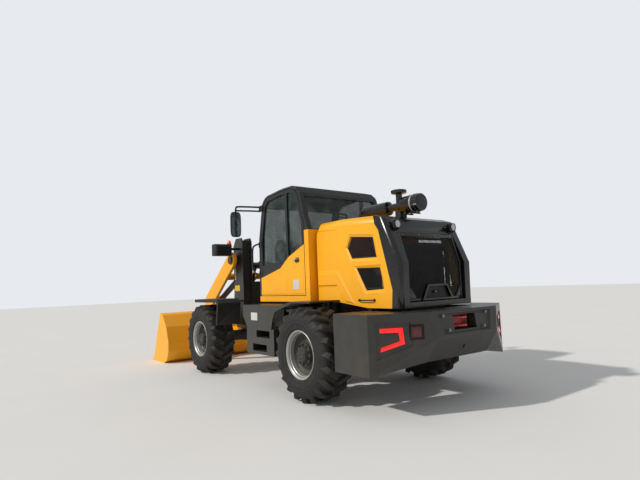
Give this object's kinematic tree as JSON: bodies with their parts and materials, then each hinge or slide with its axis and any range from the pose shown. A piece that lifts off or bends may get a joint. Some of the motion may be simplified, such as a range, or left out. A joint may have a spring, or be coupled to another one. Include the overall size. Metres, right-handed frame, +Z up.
{
  "type": "wheel loader",
  "caption": "Compact articulated wheel loader with a closed cab, amber and graphite paint, a bell-crank boom and a wide bucket.",
  "frame": {"origin": "on the ground, halfway along the machine's length and on its centre line", "axes": "+X forward, +Y left, +Z up"},
  "size_m": [6.598, 2.38, 2.674],
  "materials": {
    "amber_paint": "gloss paint with light dust",
    "graphite_paint": "satin paint",
    "black_trim": "fine grain",
    "black_steel": "satin paint",
    "tyre_rubber": "dusty",
    "rim_silver": "satin paint",
    "bright_rod": "polished",
    "cast_grey": "rough",
    "cab_glass": "clear with a green tint",
    "red_lens": "clear lens",
    "red_paint": "gloss paint",
    "lamp_lens": "clear lens",
    "seat_cloth": "woven",
    "worn_steel": "worn"
  },
  "bodies": {
    "rear_frame": {"rear_frame": "graphite_paint", "engine_block": "cast_grey", "rear_axle": "cast_grey", "counterweight": "graphite_paint", "tail_lamps": "red_lens", "tow_hitch": "red_paint", "hood": "amber_paint", "hood_mesh": "black_steel", "hood_rear_frame": "black_steel", "work_lamps": "lamp_lens", "air_cleaner": "black_trim", "cab_body": "amber_paint", "cab_frame": "black_steel", "cab_roof": "black_steel", "cab_glass": "cab_glass", "seat": "seat_cloth", "steering_column": "black_trim", "platform": "graphite_paint", "mirrors": "black_trim"},
    "front_frame": {"front_frame": "graphite_paint", "front_axle": "cast_grey", "front_fenders": "black_trim", "head_lamps": "black_trim"},
    "boom": {"boom": "amber_paint"},
    "bucket": {"bucket": "amber_paint"},
    "bell_crank": {"bell_crank": "amber_paint"},
    "tilt_link": {"tilt_link": "amber_paint"},
    "lift_barrels": {"lift_barrels": "black_steel"},
    "lift_rods": {"lift_rods": "bright_rod"},
    "tilt_barrel": {"tilt_barrel": "black_steel"},
    "tilt_rod": {"tilt_rod": "bright_rod"},
    "steer_barrel_left": {"steer_barrel_left": "black_steel"},
    "steer_rod_left": {"steer_rod_left": "bright_rod"},
    "steer_barrel_right": {"steer_barrel_right": "black_steel"},
    "steer_rod_right": {"steer_rod_right": "bright_rod"},
    "door_left": {"door_left": "black_steel", "door_skin_left": "amber_paint", "door_glass_left": "cab_glass"},
    "door_right": {"door_right": "black_steel", "door_skin_right": "amber_paint", "door_glass_right": "cab_glass"},
    "rear_grille": {"rear_grille": "black_steel"},
    "wheel_front_left": {"tyre_front_left": "tyre_rubber", "rim_front_left": "rim_silver"},
    "wheel_front_right": {"tyre_front_right": "tyre_rubber", "rim_front_right": "rim_silver"},
    "wheel_rear_left": {"tyre_rear_left": "tyre_rubber", "rim_rear_left": "rim_silver"},
    "wheel_rear_right": {"tyre_rear_right": "tyre_rubber", "rim_rear_right": "rim_silver"}
  },
  "joints": [
    {"name": "steer", "type": "hinge", "parent": "rear_frame", "child": "front_frame", "pos_m": [-0.435, 0, 0.8], "axis": [0, 0, 1], "range_deg": [-35, 35]},
    {"name": "lift", "type": "hinge", "parent": "front_frame", "child": "boom", "pos_m": [0.905, 0, 1.79], "axis": [0, -1, 0], "range_deg": [0, 88]},
    {"name": "tilt", "type": "hinge", "parent": "boom", "child": "bucket", "pos_m": [2.165, 0, 0.25], "axis": [0, 1, 0], "range_deg": [-40, 100]},
    {"name": "crank_turn", "type": "hinge", "parent": "boom", "child": "bell_crank", "pos_m": [1.65, 0, 1.4], "axis": [0, -1, 0], "range_deg": [-8.4, 20.8]},
    {"name": "link_turn", "type": "hinge", "parent": "bucket", "child": "tilt_link", "pos_m": [2.29, 0, 0.5], "axis": [0, -1, 0], "range_deg": [-24.8, 61.4]},
    {"name": "lift_barrel_turn", "type": "hinge", "parent": "front_frame", "child": "lift_barrels", "pos_m": [0.905, 0, 1.52], "axis": [0, -1, 0], "range_deg": [0, 86]},
    {"name": "lift_rod_slide", "type": "slide", "parent": "lift_barrels", "child": "lift_rods", "axis": [0.9009, 0, -0.4341], "range_m": [0, 0.376]},
    {"name": "tilt_barrel_turn", "type": "hinge", "parent": "front_frame", "child": "tilt_barrel", "pos_m": [0.855, 0, 1.7], "axis": [0, -1, 0], "range_deg": [0, 78]},
    {"name": "tilt_rod_slide", "type": "slide", "parent": "tilt_barrel", "child": "tilt_rod", "axis": [0.9995, 0, 0.0331], "range_m": [-0.108, 0.044]},
    {"name": "steer_barrel_turn_left", "type": "hinge", "parent": "rear_frame", "child": "steer_barrel_left", "pos_m": [-0.9, 0.33, 0.79], "axis": [0, 0, 1], "range_deg": [-10.6, 10.6]},
    {"name": "steer_rod_slide_left", "type": "slide", "parent": "steer_barrel_left", "child": "steer_rod_left", "axis": [0.9902, -0.1395, 0], "range_m": [-0.16, 0.16]},
    {"name": "steer_barrel_turn_right", "type": "hinge", "parent": "rear_frame", "child": "steer_barrel_right", "pos_m": [-0.9, -0.33, 0.79], "axis": [0, 0, 1], "range_deg": [-10.6, 10.6]},
    {"name": "steer_rod_slide_right", "type": "slide", "parent": "steer_barrel_right", "child": "steer_rod_right", "axis": [0.9902, 0.1395, 0], "range_m": [-0.16, 0.16]},
    {"name": "door_left_swing", "type": "hinge", "parent": "rear_frame", "child": "door_left", "pos_m": [-0.24, 0.708, 1.6], "axis": [0, 0, -1], "range_deg": [0, 75]},
    {"name": "door_right_swing", "type": "hinge", "parent": "rear_frame", "child": "door_right", "pos_m": [-0.24, -0.708, 1.6], "axis": [0, 0, 1], "range_deg": [0, 75]},
    {"name": "grille_swing", "type": "hinge", "parent": "rear_frame", "child": "rear_grille", "pos_m": [-2.818, 0, 1.838], "axis": [0, 1, 0], "range_deg": [0, 75]},
    {"name": "wheel_spin_front_left", "type": "hinge", "parent": "front_frame", "child": "wheel_front_left", "pos_m": [0.975, 0.96, 0.53721], "axis": [0, 1, 0], "continuous": true},
    {"name": "wheel_spin_front_right", "type": "hinge", "parent": "front_frame", "child": "wheel_front_right", "pos_m": [0.975, -0.96, 0.53721], "axis": [0, 1, 0], "continuous": true},
    {"name": "wheel_spin_rear_left", "type": "hinge", "parent": "rear_frame", "child": "wheel_rear_left", "pos_m": [-1.845, 0.96, 0.53721], "axis": [0, 1, 0], "continuous": true},
    {"name": "wheel_spin_rear_right", "type": "hinge", "parent": "rear_frame", "child": "wheel_rear_right", "pos_m": [-1.845, -0.96, 0.53721], "axis": [0, 1, 0], "continuous": true}
  ],
  "couplings": [
    {"joint": "crank_turn", "follows": "tilt", "ratio": 0.2046},
    {"joint": "link_turn", "follows": "tilt", "ratio": 0.6104},
    {"joint": "tilt_rod_slide", "follows": "tilt", "m_per_rad": -0.0605},
    {"joint": "lift_barrel_turn", "follows": "lift", "ratio": 0.971},
    {"joint": "lift_rod_slide", "follows": "lift", "m_per_rad": 0.2433},
    {"joint": "tilt_barrel_turn", "follows": "lift", "ratio": 0.8787},
    {"joint": "steer_barrel_turn_left", "follows": "steer", "ratio": 0.295},
    {"joint": "steer_barrel_turn_right", "follows": "steer", "ratio": 0.295},
    {"joint": "steer_rod_slide_left", "follows": "steer", "m_per_rad": -0.2593},
    {"joint": "steer_rod_slide_right", "follows": "steer", "m_per_rad": 0.2593}
  ]
}
